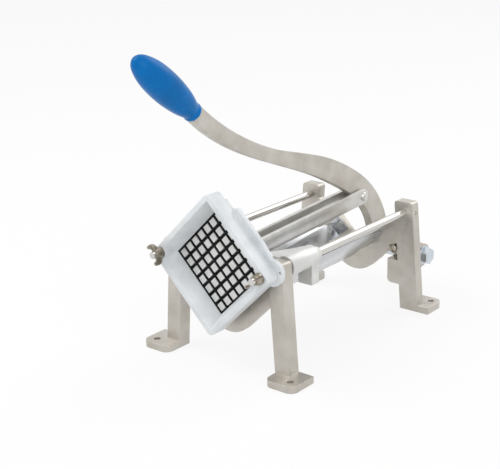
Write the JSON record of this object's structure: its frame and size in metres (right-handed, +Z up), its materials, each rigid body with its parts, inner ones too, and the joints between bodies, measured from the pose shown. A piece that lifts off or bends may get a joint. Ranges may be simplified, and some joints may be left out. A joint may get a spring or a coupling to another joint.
{
  "type": "french fry cutter",
  "caption": "Bench french fry cutter: a hand lever pushes a fingered head along two rods through a square blade grid set on its corner.",
  "frame": {"origin": "centre of the four foot holes on the bench", "axes": "+Y from the blades to the lever's pivot, +Z up"},
  "size_m": [0.226, 0.4655, 0.3788],
  "materials": {
    "plated_casting": "satin",
    "bright_rod": "polished",
    "polished_sheet": "polished",
    "pale_casting": "matt",
    "blade_steel": "satin",
    "blue_grip": "gloss",
    "pusher_casting": "satin",
    "nylon_bush": "satin",
    "bronze_bush": "satin",
    "link_bar": "satin",
    "plated_nut": "satin",
    "zinc_bolt": "satin"
  },
  "bodies": {
    "base": {"front_frame": "plated_casting", "rear_frame": "plated_casting", "guide_rod_left": "bright_rod", "guide_rod_right": "bright_rod", "rod_set_screws": "bright_rod", "head_casting": "pale_casting", "blade_frame": "pale_casting", "blades_rising": "blade_steel", "blades_falling": "blade_steel", "trough": "polished_sheet", "trough_screws": "bright_rod", "pivot_arm_left": "plated_casting", "pivot_arm_right": "plated_casting", "arm_screws": "plated_nut", "bracket_screws": "plated_nut", "pivot_bolt": "zinc_bolt", "pivot_nut": "zinc_bolt", "pivot_washers": "zinc_bolt", "pivot_spacers": "zinc_bolt"},
    "lever_arm": {"lever": "plated_casting", "hand_grip": "blue_grip", "lever_bush": "bronze_bush"},
    "link_pair": {"link_left": "link_bar", "link_right": "link_bar", "link_pin": "bright_rod", "link_pin_caps": "bright_rod", "link_rivets": "bright_rod"},
    "pusher": {"pusher_head": "pusher_casting", "pusher_bushes": "nylon_bush", "pusher_pin": "bright_rod"},
    "nut_left": {"wing_nut_left": "plated_nut"},
    "nut_right": {"wing_nut_right": "plated_nut"}
  },
  "joints": [
    {"name": "lever_swing", "type": "hinge", "parent": "base", "child": "lever_arm", "pos_m": [0, 0.1765, 0.058], "axis": [-1, 0, 0], "range_deg": [0, 80]},
    {"name": "link_swing", "type": "hinge", "parent": "lever_arm", "child": "link_pair", "pos_m": [0, 0.1255, 0.1394], "axis": [-1, 0, 0], "range_deg": [-76, 0]},
    {"name": "pusher_slide", "type": "slide", "parent": "base", "child": "pusher", "axis": [0, 1, 0], "range_m": [0, 0.123]},
    {"name": "nut_left_turn", "type": "hinge", "parent": "base", "child": "nut_left", "pos_m": [-0.0725, -0.1675, 0.129], "axis": [0, -1, 0], "continuous": true},
    {"name": "nut_right_turn", "type": "hinge", "parent": "base", "child": "nut_right", "pos_m": [0.0725, -0.1675, 0.129], "axis": [0, -1, 0], "continuous": true}
  ],
  "couplings": [
    {"joint": "pusher_slide", "follows": "lever_swing", "m_per_rad": 0.087494},
    {"joint": "link_swing", "follows": "lever_swing", "ratio": -0.9458}
  ]
}
